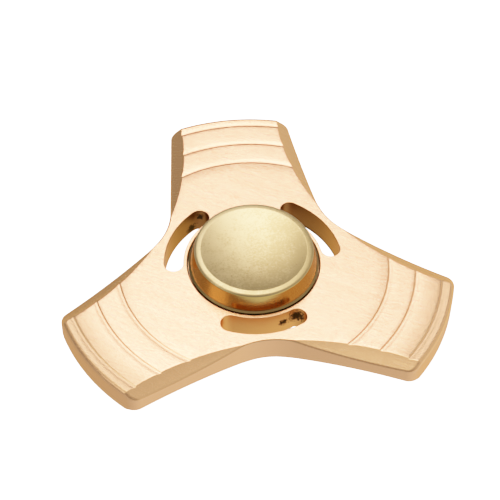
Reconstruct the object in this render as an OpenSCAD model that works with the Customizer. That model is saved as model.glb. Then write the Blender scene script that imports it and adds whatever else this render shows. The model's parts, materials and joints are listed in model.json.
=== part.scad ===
// Three-armed fidget spinner.
// A brushed plate turns on a small shielded ball bearing, and two dished thumb caps,
// drawn together by a stud, clamp the bearing's inner ring.
// +Z runs up the spin axis, the origin is the middle of the bearing, and one arm points along +Y.

/* [Plate] */
// Radius of the arms' tips about the spin axis
tip_r = 33; // [32.6:0.1:36]
// Thickness of the plate
plate_t = 4.8; // [4.8:0.1:6]
// Closest distance from the spin axis to the plate's edge, between two arms
waist_r = 16; // [15.6:0.1:17]
// Radius of the hollow curve between two arms
waist_arc_r = 11.4; // [9:0.1:13]
// Angle by which each side of an arm leans in towards the tip
arm_taper = 6.5; // [4:0.5:9]
// Radius of an arm's two corners, seen from above
corner_r = 2; // [0.5:0.1:3]
// Radius that rounds the upper and lower edges of the tips
tip_edge_r = 0.8; // [0.2:0.1:1.5]
// Size of the small chamfer on the other edges
edge_break = 0.25; // [0.1:0.05:0.4]

/* [Side bevels] */
// Radius of a bevel's upper edge, seen from above
bevel_r = 45; // [40:1:52]
// Slope of the bevel below the plate's face, in degrees
bevel_slope = 25.6; // [15:0.2:35]
// Least distance from an arm's centre line to the bevel's upper edge
bevel_half_w = 8.4; // [8:0.1:9.4]
// Distance out along the arm at which the bevel is widest
bevel_y = 29.9; // [28:0.1:31]

/* [Grooves] */
// Number of grooves across each arm
groove_count = 3; // [1:1:3]
// Radius of the innermost groove's inner edge
groove_r = 22.1; // [20:0.1:22.4]
// Distance from one groove to the next
groove_pitch = 4.36; // [3:0.02:4.4]
// Width of a groove
groove_w = 0.7; // [0.4:0.05:1]
// Depth of a groove
groove_d = 0.15; // [0.1:0.01:0.5]

/* [Slots] */
// Radius of a slot's middle line about the spin axis
slot_r = 13.08; // [13:0.01:13.4]
// Width of a slot
slot_w = 3.14; // [2:0.02:3.2]
// Angle from a slot's middle to the centre of its rounded end
slot_half_angle = 24.3; // [10:0.1:30]

/* [Thumb caps] */
// Radius of a cap's rim
cap_rim_r = 9.72; // [9.4:0.01:10]
// Radius of a cap's base, where it is widest
cap_base_r = 10.7; // [10.4:0.01:10.8]
// Height of the rim above the plate's face
cap_rise = 3.5; // [2.8:0.1:5]
// Width of the rim, out to in
rim_w = 1; // [0.7:0.05:1.5]
// Depth of the thumb dish
dish_depth = 0.9; // [0.3:0.05:1.2]
// Depth of the round recess in the plate that takes the cap's lower edge
recess_d = 0.6; // [0.5:0.05:0.8]
// Gap round the cap, inside the recess
recess_gap = 0.15; // [0.1:0.05:0.5]

/* [Bearing] */
// Outer diameter
bearing_od = 12.7; // [12.6:0.1:12.9]
// Bore
bearing_bore = 6.35; // [6.2:0.05:6.4]
// Width
bearing_w = 4.762; // [4.7:0.002:4.78]
// Diameter of a ball
ball_d = 1.588; // [1.5:0.004:1.6]
// Number of balls
ball_count = 10; // [6:1:10]

/* [Stud] */
// Thread diameter
stud_d = 4; // [3:0.5:4]
// Length
stud_len = 7; // [5:0.5:7.4]

/* [Hidden] */
$fn = 120;
eps = 0.01;
over = 1; // how far a cutting shape runs past the face that it cuts
past_tip = 5; // how far an arm's straight sides run on before the tip is cut round

arm_angles = [90, 210, 330];
face_z = plate_t / 2;

// Plan of an arm, which points along +Y: the side's outward normal, the hollow's centre, the point
// where the two meet, and the centre of the rounded corner
side_n = [cos(arm_taper), sin(arm_taper)];
hollow_c = (waist_r + waist_arc_r) * [sin(60), cos(60)];
side_start = hollow_c - waist_arc_r * side_n;
side_dist = side_start * side_n;
corner_swing = acos((side_dist - corner_r) / (tip_r - corner_r));
corner_u = [cos(arm_taper + corner_swing), sin(arm_taper + corner_swing)];
corner_c = (tip_r - corner_r) * corner_u;
side_end_y = tip_r + past_tip;
side_end = [(side_dist - side_end_y * side_n.y) / side_n.x, side_end_y];

// Side bevels: the deepest that one is cut, and the part of an arm that they keep to
bevel_cut_d = 3;
bevel_start_y = 8;
bevel_reach = 16;

// A groove's flat floor, as distances in from its inner and its outer edge
groove_floor_in = 0.12;
groove_floor_out = 0.2;

// Thumb caps, as radii and heights
boss_clearance = 0.015;
boss_r = bearing_bore / 2 - boss_clearance;
boss_z = 0.4; // height at which the boss ends, short of the other cap's
seat_z = bearing_w / 2;
seat_w = 0.8; // width of the shoulder that clamps the bearing's inner ring
seat_r = bearing_bore / 2 + seat_w;
relief_d = 0.45; // how far the cap's hollow clears the plate's face
relief_z = face_z + relief_d;
foot_w = 1.5; // width of the cap's lower edge
skirt_r = cap_base_r - foot_w;
lip_z = face_z - recess_d / 2;
flange_z = face_z + 0.3; // top of the thin flange round the cap's base
flange_w = 0.3;
flange_chamfer = 0.2;
side_base_r = cap_base_r - flange_w;
rim_z = face_z + cap_rise;
dish_r = dish_ball_r(cap_rim_r - rim_w, dish_depth);
recess_r = cap_base_r + recess_gap;
thread_clearance = 0.02;
thread_spare = 0.4; // how far the threaded hole runs past the stud
thread_top_z = stud_len / 2 + thread_spare;

// Bearing, as radii
pitch_r = (bearing_od + bearing_bore) / 4;
ball_clearance = 0.015;
race_r = ball_d / 2 + ball_clearance;
land_step = 0.56; // from the balls' circle to the lands beside the race
inner_land_r = pitch_r - land_step;
outer_land_r = pitch_r + land_step;
ring_chamfer = 0.2;
shield_z = 1.70;
shield_t = 0.15;
shield_gap = 0.15;
shield_seat_w = 0.57;
shield_seat_r = bearing_od / 2 - shield_seat_w;
snap_gap = 0.02;
snap_z = shield_z + shield_t + snap_gap;
snap_t = 0.2;
snap_w = 0.48;
snap_groove_d = 0.14;
snap_groove_r = shield_seat_r + snap_groove_d;
snap_opening = 50; // angle of the gap in a snap ring
cage_w = 0.54;
cage_low = -1.15;
cage_high = 0.42;
pocket_clearance = 0.03;
pocket_r = ball_d / 2 + pocket_clearance;
socket_af = stud_d / 2; // hexagon across its flats
socket_share = 0.3; // of the stud's length
socket_d = stud_len * socket_share;

function dish_ball_r(r, depth) = (r * r + depth * depth) / (2 * depth);
function turned(p, a) = [p.x * cos(a) - p.y * sin(a), p.x * sin(a) + p.y * cos(a)];
function ball_name(i) = str("ball_", i < 10 ? "0" : "", i);

rose_gold = [0.93, 0.76, 0.58];
cap_brass = [0.78, 0.68, 0.42];
bearing_steel = [0.74, 0.75, 0.77];
cage_brass = [0.80, 0.66, 0.36];

// ---- Plate ----

module for_each_arm() {
    for (a = arm_angles) rotate(a - 90) children();
}

module both_sides_of_arm() {
    children();
    mirror([1, 0, 0]) children();
}

// What is taken off an arm's square corner to round it
module corner_waste() {
    difference() {
        polygon([
            corner_c,
            corner_c + 2 * corner_r * side_n,
            corner_c + 2 * corner_r * (side_n + corner_u),
            corner_c + 2 * corner_r * corner_u
        ]);
        translate(corner_c) circle(corner_r);
    }
}

// One end of a slot: half a disc, past the line where the slot's two arcs stop
module slot_end() {
    intersection() {
        circle(slot_w / 2);
        translate([-slot_w, 0]) square([2 * slot_w, slot_w]);
    }
}

// The stretch of a ring within slot_half_angle of the X axis
module slot_middle() {
    reach = 3 * slot_r;
    intersection() {
        difference() {
            circle(slot_r + slot_w / 2);
            circle(slot_r - slot_w / 2);
        }
        polygon([
            [0, 0],
            reach * [cos(slot_half_angle), -sin(slot_half_angle)],
            reach * [cos(slot_half_angle), sin(slot_half_angle)]
        ]);
    }
}

module slot_plan() {
    for (a = arm_angles) rotate(a + 60) {
        slot_middle();
        for (s = [0, 1]) mirror([0, s]) rotate(slot_half_angle) translate([slot_r, 0]) slot_end();
    }
}

module plate_plan() {
    arm = [side_start, side_end, [-side_end.x, side_end.y], [-side_start.x, side_start.y]];
    difference() {
        intersection() {
            circle(tip_r);
            polygon([for (a = arm_angles) for (p = arm) turned(p, a - 90)]);
        }
        for_each_arm() {
            translate(hollow_c) circle(waist_arc_r);
            both_sides_of_arm() corner_waste();
        }
        slot_plan();
    }
}

// Rounds the edge of the tips all the way round
module tip_edge_cut() {
    rotate_extrude() difference() {
        translate([tip_r - tip_edge_r, face_z - tip_edge_r]) square(tip_edge_r + over);
        translate([tip_r - tip_edge_r, face_z - tip_edge_r]) circle(tip_edge_r);
    }
}

// A flat cone, so that the slope is even and its upper edge is an arc
module bevel_cut() {
    run = 1 / tan(bevel_slope);
    r1 = bevel_r - bevel_cut_d * run;
    intersection() {
        translate([bevel_half_w + bevel_r, bevel_y, face_z - bevel_cut_d])
            cylinder(h = bevel_cut_d + over, r1 = r1, r2 = bevel_r + over * run);
        translate([0, bevel_start_y, 0]) cube([bevel_reach, tip_r, face_z + over]);
    }
}

module groove_cut() {
    for (i = [0:groove_count - 1]) {
        rotate_extrude() translate([groove_r + i * groove_pitch, face_z - groove_d])
            polygon([
                [groove_floor_in, 0], [groove_w - groove_floor_out, 0], [groove_w, groove_d / 2],
                [groove_w, over], [0, over], [0, groove_d / 2]
            ]);
    }
}

module recess_cut() {
    translate([0, 0, face_z - recess_d]) cylinder(h = recess_d + over, r = recess_r);
    translate([0, 0, face_z - edge_break / 2])
        cylinder(h = over, r1 = recess_r, r2 = recess_r + over);
}

// Everything that is cut into one face of the plate
module face_cuts() {
    tip_edge_cut();
    groove_cut();
    recess_cut();
    for_each_arm() {
        both_sides_of_arm() bevel_cut();
        translate([hollow_c.x, hollow_c.y, face_z - edge_break])
            cylinder(h = over, r1 = waist_arc_r, r2 = waist_arc_r + over);
    }
}

module spinner_body() {
    color(rose_gold) difference() {
        translate([0, 0, -face_z]) linear_extrude(plate_t) plate_plan();
        cylinder(h = plate_t + 2 * over, r = bearing_od / 2, center = true);
        face_cuts();
        mirror([0, 0, 1]) face_cuts();
    }
}

// ---- Hub ----

module cap() {
    edge = 0.3;
    color(cap_brass) difference() {
        rotate_extrude() polygon([
            [0, boss_z], [boss_r - edge, boss_z], [boss_r, boss_z + edge], [boss_r, seat_z],
            [seat_r, seat_z], [seat_r, relief_z], [skirt_r, relief_z], [skirt_r, lip_z],
            [cap_base_r, lip_z], [cap_base_r, flange_z - flange_chamfer],
            [cap_base_r - flange_chamfer, flange_z], [side_base_r, flange_z],
            [cap_rim_r, rim_z - edge], [cap_rim_r - edge, rim_z], [0, rim_z]
        ]);
        translate([0, 0, rim_z - dish_depth + dish_r]) sphere(dish_r, $fn = 240);
        cylinder(h = thread_top_z, r = stud_d / 2 + thread_clearance);
    }
}

module top_cap() {
    cap();
}

module bottom_cap() {
    mirror([0, 0, 1]) cap();
}

// The thread is drawn at its outer diameter
module threaded_stud() {
    edge = 0.4;
    r = stud_d / 2;
    h = stud_len / 2;
    color(bearing_steel) difference() {
        rotate_extrude() polygon([
            [0, -h], [r - edge, -h], [r, edge - h], [r, h - edge], [r - edge, h], [0, h]
        ]);
        translate([0, 0, h - socket_d])
            cylinder(h = socket_d + over, r = socket_af / sqrt(3), $fn = 6);
    }
}

// ---- Bearing ----

module ball_race() {
    rotate_extrude() translate([pitch_r, 0]) circle(race_r);
}

module bearing_inner_ring() {
    h = bearing_w / 2;
    color(bearing_steel) difference() {
        cylinder(h = bearing_w, r = inner_land_r, center = true);
        cylinder(h = bearing_w + over, r = bearing_bore / 2, center = true);
        for (s = [0, 1]) mirror([0, 0, s]) translate([0, 0, h - ring_chamfer])
            cylinder(h = over, r1 = bearing_bore / 2, r2 = bearing_bore / 2 + over);
        ball_race();
    }
}

// The ring's upper half of seats: a step for the shield and a groove for the snap ring
module shield_seat() {
    translate([0, 0, shield_z]) cylinder(h = bearing_w, r = shield_seat_r);
    translate([0, 0, snap_z - snap_gap / 2]) cylinder(h = snap_t + snap_gap, r = snap_groove_r);
}

module bearing_outer_ring() {
    h = bearing_w / 2;
    r = bearing_od / 2;
    color(bearing_steel) difference() {
        rotate_extrude() polygon([
            [0, -h], [r - ring_chamfer, -h], [r, ring_chamfer - h],
            [r, h - ring_chamfer], [r - ring_chamfer, h], [0, h]
        ]);
        cylinder(h = bearing_w + over, r = outer_land_r, center = true);
        ball_race();
        shield_seat();
        mirror([0, 0, 1]) shield_seat();
    }
}

module at_ball(i) {
    rotate(i * 360 / ball_count) translate([pitch_r, 0, 0]) children();
}

module ball(i) {
    color(bearing_steel) at_ball(i) sphere(d = ball_d, $fn = 64);
}

// A crown cage: each pocket is open on top, by less than the ball's width
module ball_cage() {
    color(cage_brass) difference() {
        translate([0, 0, cage_low]) cylinder(h = cage_high - cage_low, r = pitch_r + cage_w / 2);
        cylinder(h = bearing_w, r = pitch_r - cage_w / 2, center = true);
        for (i = [1:ball_count]) at_ball(i) sphere(r = pocket_r, $fn = 64);
    }
}

module shield() {
    color(bearing_steel) translate([0, 0, shield_z]) difference() {
        cylinder(h = shield_t, r = shield_seat_r - eps);
        translate([0, 0, -over]) cylinder(h = 2 * over, r = inner_land_r + shield_gap);
    }
}

module upper_shield() {
    shield();
}

module lower_shield() {
    mirror([0, 0, 1]) shield();
}

module snap_ring() {
    outer = snap_groove_r - snap_gap;
    reach = 2 * outer;
    color(bearing_steel) translate([0, 0, snap_z]) linear_extrude(snap_t) difference() {
        circle(outer);
        circle(outer - snap_w);
        polygon([
            [0, 0],
            reach * [cos(snap_opening / 2), sin(snap_opening / 2)],
            reach * [cos(snap_opening / 2), -sin(snap_opening / 2)]
        ]);
    }
}

module upper_snap_ring() {
    snap_ring();
}

module lower_snap_ring() {
    mirror([0, 0, 1]) snap_ring();
}

spinner_body();
top_cap();
bottom_cap();
threaded_stud();
bearing_inner_ring();
bearing_outer_ring();
ball_cage();
upper_shield();
lower_shield();
upper_snap_ring();
lower_snap_ring();
for (i = [1:ball_count]) {
    ball(i);
}
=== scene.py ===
"""The looks of a three-armed fidget spinner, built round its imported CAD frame.

Sizes in the dataclasses are millimetres in the frame's own axes: +Z runs up the spin axis, the
origin is the middle of the bearing, and one arm points along +Y. Meshes are written in metres.
"""

import json
import logging
import math
from dataclasses import dataclass
from enum import Enum
from typing import Any, Callable, Sequence, Union

import bmesh
import bpy
import numpy as np
from mathutils import Matrix, Vector
from mathutils.geometry import delaunay_2d_cdt


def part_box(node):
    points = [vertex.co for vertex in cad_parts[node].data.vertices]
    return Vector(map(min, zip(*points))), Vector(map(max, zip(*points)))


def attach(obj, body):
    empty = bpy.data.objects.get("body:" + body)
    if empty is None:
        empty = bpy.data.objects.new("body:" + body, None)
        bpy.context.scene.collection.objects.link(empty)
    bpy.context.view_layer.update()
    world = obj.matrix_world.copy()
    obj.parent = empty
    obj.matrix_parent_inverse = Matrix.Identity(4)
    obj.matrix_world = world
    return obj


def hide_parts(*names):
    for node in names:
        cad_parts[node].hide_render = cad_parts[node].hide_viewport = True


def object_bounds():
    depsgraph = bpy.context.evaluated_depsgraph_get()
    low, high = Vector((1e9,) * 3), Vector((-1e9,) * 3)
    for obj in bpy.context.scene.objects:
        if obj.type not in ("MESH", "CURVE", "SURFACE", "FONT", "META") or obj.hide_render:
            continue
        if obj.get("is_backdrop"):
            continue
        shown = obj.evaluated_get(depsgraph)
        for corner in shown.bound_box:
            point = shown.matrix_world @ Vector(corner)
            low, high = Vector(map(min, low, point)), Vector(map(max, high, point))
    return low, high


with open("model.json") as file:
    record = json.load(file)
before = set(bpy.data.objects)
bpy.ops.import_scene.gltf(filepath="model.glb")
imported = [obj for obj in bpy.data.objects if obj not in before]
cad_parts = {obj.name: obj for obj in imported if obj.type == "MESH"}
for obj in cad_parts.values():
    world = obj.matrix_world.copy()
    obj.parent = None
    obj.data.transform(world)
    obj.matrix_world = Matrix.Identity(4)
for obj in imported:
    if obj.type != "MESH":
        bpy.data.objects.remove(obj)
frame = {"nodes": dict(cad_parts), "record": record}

LOG = logging.getLogger("spinner")
MM = 0.001
FULL_TURN = 2 * math.pi
THIRD_TURN = math.pi / 3
SAME_PLACE = 1e-6
RECESS_GAP = 0.15

Number = Union[float, "Value"]
Point = tuple[float, float]
Colour = tuple[float, float, float]
Span = tuple[float, float]
Inputs = dict[int | str, Any]


class Body(Enum):
    """The bodies of the CAD frame that new pieces ride on."""

    HUB = "hub"
    ROTOR = "rotor"


class Slot(Enum):
    """The record's material slots."""

    PLATE = "brushed_plate"
    CAP = "cap_brass"
    STUD = "stud_steel"
    RING = "bearing_steel"
    CAGE = "cage_brass"
    SHIELD = "shield_steel"
    SPRING = "spring_steel"
    BALL = "ball_steel"


def declare(piece: bpy.types.Object, body: Body, node: str) -> None:
    """Says what a piece rides on, which CAD node it replaces."""
    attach(piece, body.value)
    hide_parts(node)


# ---------------------------------------------------------------- shader maths


def _operator(operation: str, reflected: bool = False) -> Callable[["Value", Number], "Value"]:
    """Makes the method behind one arithmetic operator.

    Args:
        operation: The Math node's operation.
        reflected: Whether the value is on the operator's right.

    Returns:
        The method.
    """

    def apply(self: "Value", other: Number) -> "Value":
        """Adds the Math node."""
        operands = (other, self) if reflected else (self, other)
        return self.book.add("ShaderNodeMath", {"operation": operation}, dict(enumerate(operands)))

    return apply


class Value:
    """A shader socket that takes part in arithmetic, each operator adding a Math node."""

    __add__, __radd__ = _operator("ADD"), _operator("ADD", True)
    __sub__, __rsub__ = _operator("SUBTRACT"), _operator("SUBTRACT", True)
    __mul__, __rmul__ = _operator("MULTIPLY"), _operator("MULTIPLY", True)
    __truediv__, __pow__ = _operator("DIVIDE"), _operator("POWER")
    at_least = _operator("MAXIMUM")

    def __init__(self, book: "NodeBook", socket: bpy.types.NodeSocket) -> None:
        """Wraps a socket."""
        self.book = book
        self.socket = socket

    def __abs__(self) -> "Value":
        """The size of self without its sign."""
        return self.book.add("ShaderNodeMath", {"operation": "ABSOLUTE"}, {0: self})

    def ramp(self, low: float, high: float) -> "Value":
        """Rises smoothly from 0 where self is low to 1 where it is high."""
        inputs = {"Value": self, "From Min": low, "From Max": high}
        return self.book.add("ShaderNodeMapRange", {"interpolation_type": "SMOOTHSTEP"}, inputs)


def wire(
    tree: bpy.types.NodeTree, kind: str, settings: dict[str, Any], inputs: Inputs | None
) -> bpy.types.Node:
    """Adds a node to a tree.

    Args:
        tree: The tree.
        kind: The node's type.
        settings: Its own properties, set before its sockets.
        inputs: Values, or sockets to link from, by socket index or name.

    Returns:
        The node.
    """
    node = tree.nodes.new(kind)
    for name, setting in settings.items():
        setattr(node, name, setting)
    for key, given in (inputs or {}).items():
        given = given.socket if isinstance(given, Value) else given
        if isinstance(given, bpy.types.NodeSocket):
            tree.links.new(given, node.inputs[key])
        else:
            node.inputs[key].default_value = given
    return node


class NodeBook:
    """Writes the nodes of one material's or world's tree."""

    def __init__(self, tree: bpy.types.NodeTree) -> None:
        """Empties the tree."""
        self.tree = tree
        tree.nodes.clear()

    def add(
        self,
        kind: str,
        settings: dict[str, Any] | None = None,
        inputs: Inputs | None = None,
        output: int | str = 0,
    ) -> Value:
        """Adds a node of any type.

        Args:
            kind: The node's type.
            settings: Its own properties.
            inputs: Values or links, by socket index or name.
            output: The output to return.

        Returns:
            The chosen output, or for a node that ends the tree its first input.
        """
        node = wire(self.tree, kind, settings or {}, inputs)
        return Value(self, node.outputs[output] if node.outputs else node.inputs[0])

    def object_mm(self) -> Value:
        """Object coordinates in millimetres."""
        place = self.add("ShaderNodeTexCoord", output="Object")
        return self.add("ShaderNodeVectorMath", {"operation": "SCALE"}, {0: place, "Scale": 1 / MM})

    def round_axis(self) -> tuple[Value, Value, Value, Value, Value]:
        """Object coordinates in millimetres: the place, its three parts, and how far it is from the axis."""
        place = self.object_mm()
        x, y, z = self.split(place)
        return place, x, y, z, (x * x + y * y) ** 0.5

    def upright(self) -> Value:
        """How nearly the face points up or down, from 0 on a wall to 1 on the level."""
        normal = self.add("ShaderNodeNewGeometry", output="True Normal")
        return abs(self.split(normal)[2])

    def split(self, vector: Value) -> tuple[Value, Value, Value]:
        """The three parts of a vector."""
        node = self.add("ShaderNodeSeparateXYZ", inputs={0: vector}).socket.node
        return tuple(Value(self, out) for out in node.outputs)

    def vector(self, x: Number, y: Number, z: Number) -> Value:
        """A vector made of three numbers."""
        return self.add("ShaderNodeCombineXYZ", inputs={0: x, 1: y, 2: z})

    def scaled(self, vector: Value, scale: Sequence[float]) -> Value:
        """A vector multiplied part by part."""
        return self.add("ShaderNodeVectorMath", {"operation": "MULTIPLY"}, {0: vector, 1: tuple(scale)})

    def turned(self, vector: Value, angle: float) -> Value:
        """A vector turned about Z, in radians."""
        inputs = {"Vector": vector, "Rotation": (0.0, 0.0, angle)}
        return self.add("ShaderNodeMapping", {"vector_type": "POINT"}, inputs)

    def noise(self, place: Value, scale: float, detail: float = 2.0, roughness: float = 0.5) -> Value:
        """Noise from 0 to 1."""
        inputs = {"Vector": place, "Scale": scale, "Detail": detail, "Roughness": roughness}
        return self.add("ShaderNodeTexNoise", {"noise_dimensions": "3D"}, inputs)

    def mix(self, share: Number, low: Any, high: Any) -> Value:
        """A colour between two colours.

        Args:
            share: 0 gives low and 1 gives high.
            low: A colour or a link to one.
            high: A colour or a link to one.

        Returns:
            The mixed colour.
        """
        ends = [c if isinstance(c, Value) else (*c, 1.0) for c in (low, high)]
        inputs = {0: share, 6: ends[0], 7: ends[1]}
        return self.add("ShaderNodeMix", {"data_type": "RGBA"}, inputs, output=2)

    def bump(self, height: Value, depth_mm: float) -> Value:
        """A normal bent by a height."""
        inputs = {"Strength": 1.0, "Distance": depth_mm * MM, "Height": height}
        return self.add("ShaderNodeBump", inputs=inputs)


# ---------------------------------------------------------------- finishes


class Finish:
    """A finish, which is one Principled shader."""

    name: str

    def material(self) -> bpy.types.Material:
        """Builds the material."""
        material = bpy.data.materials.new(self.name)
        material.use_nodes = True
        book = NodeBook(material.node_tree)
        shader = book.add("ShaderNodeBsdfPrincipled", inputs=self.paint(book))
        book.add("ShaderNodeOutputMaterial", inputs={"Surface": shader})
        return material

    def paint(self, book: NodeBook) -> dict[str, Any]:
        """Writes the nodes, and returns the shader's sockets by name."""
        raise NotImplementedError


@dataclass(frozen=True)
class Stain:
    """A dark spot left on a slot's wall, by its centre and size."""

    centre: tuple[float, float, float]
    reach: float


@dataclass(frozen=True)
class BrushedRoseGold(Finish):
    """Rose-gold plate, brushed in one direction, with satin cut walls, stained slots, painted bounce light
    and shade on the slot walls, and painted shade near the lower arms' tips.
    """

    name: str = "rose_gold_brushed"
    brush_angle: float = math.radians(-30)
    colour: Colour = (0.93, 0.488, 0.266)
    shade: Colour = (0.74, 0.376, 0.190)
    wall_colour: Colour = (0.86, 0.465, 0.240)
    slot_bounce_colour: Colour = (0.76, 0.34, 0.100)
    # The slot walls' two colours are painted light: an orange for light bounced between the walls, turning to
    # a dark brown painted shade on the walls towards +y.
    slot_far_shade_colour: Colour = (0.27, 0.110, 0.032)
    edge_colour: Colour = (0.86, 0.455, 0.205)
    # The next colour is painted shade: the flat face darkens towards the tips of the two lower arms.
    tip_shade_colour: Colour = (0.52, 0.278, 0.140)
    grazing_tint: Colour = (1.0, 0.72, 0.45)
    stain_colour: Colour = (0.07, 0.034, 0.012)
    roughness: float = 0.25
    relief_depth: float = 0.022
    # features for each millimetre: along the brushing, across it, and into the plate
    hair_scale: tuple[float, float, float] = (1.1, 17.0, 4.0)
    streak_scale: tuple[float, float, float] = (0.16, 3.4, 0.8)
    band_scale: tuple[float, float, float] = (0.03, 0.45, 0.2)
    scratch_scale: tuple[float, float, float] = (0.06, 4.0, 0.8)
    grain_scale: float = 6.0
    stain_scale: float = 2.6
    # where each blend starts and ends: by uprightness, distance from the axis, x, y or z
    wall_blend: Span = (0.55, 0.25)
    edge_blend: Span = (0.985, 0.94)
    tone_blend: Span = (0.36, 0.60)
    scratch_blend: Span = (0.70, 0.80)
    tip_shade_r: Span = (27.0, 31.0)
    tip_shade_y: Span = (14.0, 6.0)
    slot_inner_r: Span = (11.0, 11.3)
    slot_outer_r: Span = (15.3, 14.9)
    slot_far_shade_y: Span = (1.0, 11.5)
    low_edge_z: Span = (-1.8, -2.15)
    low_edge_x: Span = (9.5, 10.5)
    low_edge_blend: Span = (0.38, 0.50)
    stain_blend: Span = (0.95, 0.55)
    stain_raggedness: float = 3.4
    stains: tuple[Stain, ...] = (
        Stain((5.6, -10.6, 0.6), 1.6),
        Stain((3.3, -11.1, 0.0), 0.9),
        Stain((-7.4, 12.2, 0.8), 0.8),
        Stain((-9.0, 11.6, -1.3), 1.2),
    )

    def _stained(self, book: NodeBook, place: Value) -> Value:
        """Where the slots' walls have stains, and a dark line along their lower edge on the +x side, from 0
        to 1.
        """
        blotch = book.noise(place, self.stain_scale, 5.0, 0.75)
        x, _, z = book.split(place)
        # A dark line along the slot walls' lower edge on the +x side, drawn in the stains' colour.
        total = z.ramp(*self.low_edge_z) * x.ramp(*self.low_edge_x) * blotch.ramp(*self.low_edge_blend)
        ragged = self.stain_raggedness * (blotch - 0.5)
        for spot in self.stains:
            ends = {0: place, 1: spot.centre}
            near = book.add("ShaderNodeVectorMath", {"operation": "DISTANCE"}, ends, "Value")
            total = total.at_least((near / spot.reach + ragged).ramp(*self.stain_blend))
        return total

    def paint(self, book: NodeBook) -> dict[str, Any]:
        """Writes the nodes."""
        place, _, y, _, r = book.round_axis()
        along = book.turned(place, -self.brush_angle)
        hair = book.noise(book.scaled(along, self.hair_scale), 1.0, 3.0, 0.65)
        streak = book.noise(book.scaled(along, self.streak_scale), 1.0, 2.0, 0.6)
        band = book.noise(book.scaled(along, self.band_scale), 1.0, 1.0)
        scratch = book.noise(book.scaled(along, self.scratch_scale), 1.0, 0.0).ramp(*self.scratch_blend)
        grain = book.noise(place, self.grain_scale, 3.0, 0.6)

        upright = book.upright()
        wall = upright.ramp(*self.wall_blend)
        edge = upright.ramp(*self.edge_blend)
        # Painted shade on the flat face towards the tips of the two lower arms.
        tip_shade = (1 - edge) * r.ramp(*self.tip_shade_r) * y.ramp(*self.tip_shade_y)
        slot = wall * r.ramp(*self.slot_outer_r) * r.ramp(*self.slot_inner_r)
        stain = slot * self._stained(book, place)

        tone = 0.72 * hair + 0.14 * streak + 0.14 * band
        colour = book.mix(tone.ramp(*self.tone_blend), self.shade, self.colour)
        colour = book.mix(0.25 * scratch, colour, self.shade)
        colour = book.mix(tip_shade, colour, self.tip_shade_colour)
        colour = book.mix(edge, colour, self.edge_colour)
        colour = book.mix(wall, colour, self.wall_colour)
        # Painted bounce light on the slot walls, turning to painted shade on the walls towards +y.
        slot_bounce_colour = book.mix(y.ramp(*self.slot_far_shade_y), self.slot_bounce_colour, self.slot_far_shade_colour)
        colour = book.mix(slot, colour, slot_bounce_colour)
        rough = self.roughness + 0.14 * (hair - 0.5) + 0.10 * (streak - 0.5) + 0.10 * wall
        relief = (1 - wall) * (0.9 * hair + 0.1 * streak - 0.2 * scratch) + wall * 0.30 * grain
        return {
            "Base Color": book.mix(stain, colour, self.stain_colour),
            "Metallic": 1.0,
            "Roughness": rough + 0.35 * stain,
            "Specular Tint": (*self.grazing_tint, 1.0),
            "Normal": book.bump(relief, self.relief_depth),
        }


@dataclass(frozen=True)
class SatinBrass(Finish):
    """Olive brass cap: a finely blasted dish, a bright rim and a polished, tapered side, with painted light
    and shade across it and painted shade at its foot.
    """

    dish_r: float
    rim_z: float
    name: str = "olive_brass"
    colour: Colour = (0.57, 0.405, 0.190)
    low: Colour = (0.42, 0.290, 0.120)
    # The next colour is painted shade in the narrow gap round the cap's foot.
    foot_gap_shade_colour: Colour = (0.24, 0.150, 0.050)
    side_colour: Colour = (0.60, 0.400, 0.125)
    dish_roughness: float = 0.29
    rim_roughness: float = 0.33
    side_roughness: float = 0.15
    relief_depth: float = 0.020
    # The next slope paints light and shade across the cap: lighter towards -x and +y, darker towards +x and
    # -y.
    side_shade_slope: float = 0.008
    # features for each millimetre
    grit_scale: float = 7.0
    speckle_scale: float = 2.6
    cloud_scale: float = 0.35
    turning_scale: float = 5.0
    # where each blend starts and ends
    dish_edge: Span = (0.12, -0.12)
    dish_drop: Span = (-1.6, -1.3)
    side_blend: Span = (0.75, 0.35)
    tone_blend: Span = (0.38, 0.62)
    foot_gap_shade_r: Span = (10.3, 10.42)

    def paint(self, book: NodeBook) -> dict[str, Any]:
        """Writes the nodes."""
        place, x, y, z, r = book.round_axis()
        dish = (r - self.dish_r).ramp(*self.dish_edge) * (abs(z) - self.rim_z).ramp(*self.dish_drop)
        side = book.upright().ramp(*self.side_blend)
        grit = book.noise(place, self.grit_scale, 3.0, 0.7)
        speckle = book.noise(place, self.speckle_scale, 5.0, 0.75)
        cloud = book.noise(place, self.cloud_scale, 2.0, 0.5)
        turning = book.noise(book.vector(r, z * 3.0, 0.0), self.turning_scale, 1.0)

        # The slope term is painted light and shade, darker towards +x and -y.
        tone = 0.7 * speckle + 0.3 * cloud + self.side_shade_slope * (y - 1.5 * x)
        colour = book.mix(tone.ramp(*self.tone_blend), self.low, self.colour)
        colour = book.mix(side, colour, self.side_colour)
        flat = self.rim_roughness + dish * (self.dish_roughness - self.rim_roughness)
        rough = flat + side * (self.side_roughness - flat)
        relief = (0.35 + 0.65 * dish) * (1 - side) * (0.7 * grit + 0.3 * speckle) + side * 0.25 * turning
        return {
            # Painted shade on the cap's foot, in the gap round it.
            "Base Color": book.mix(r.ramp(*self.foot_gap_shade_r), colour, self.foot_gap_shade_colour),
            "Metallic": 1.0,
            "Roughness": rough + 0.10 * (speckle - 0.5),
            "Normal": book.bump(relief, self.relief_depth),
        }


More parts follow.
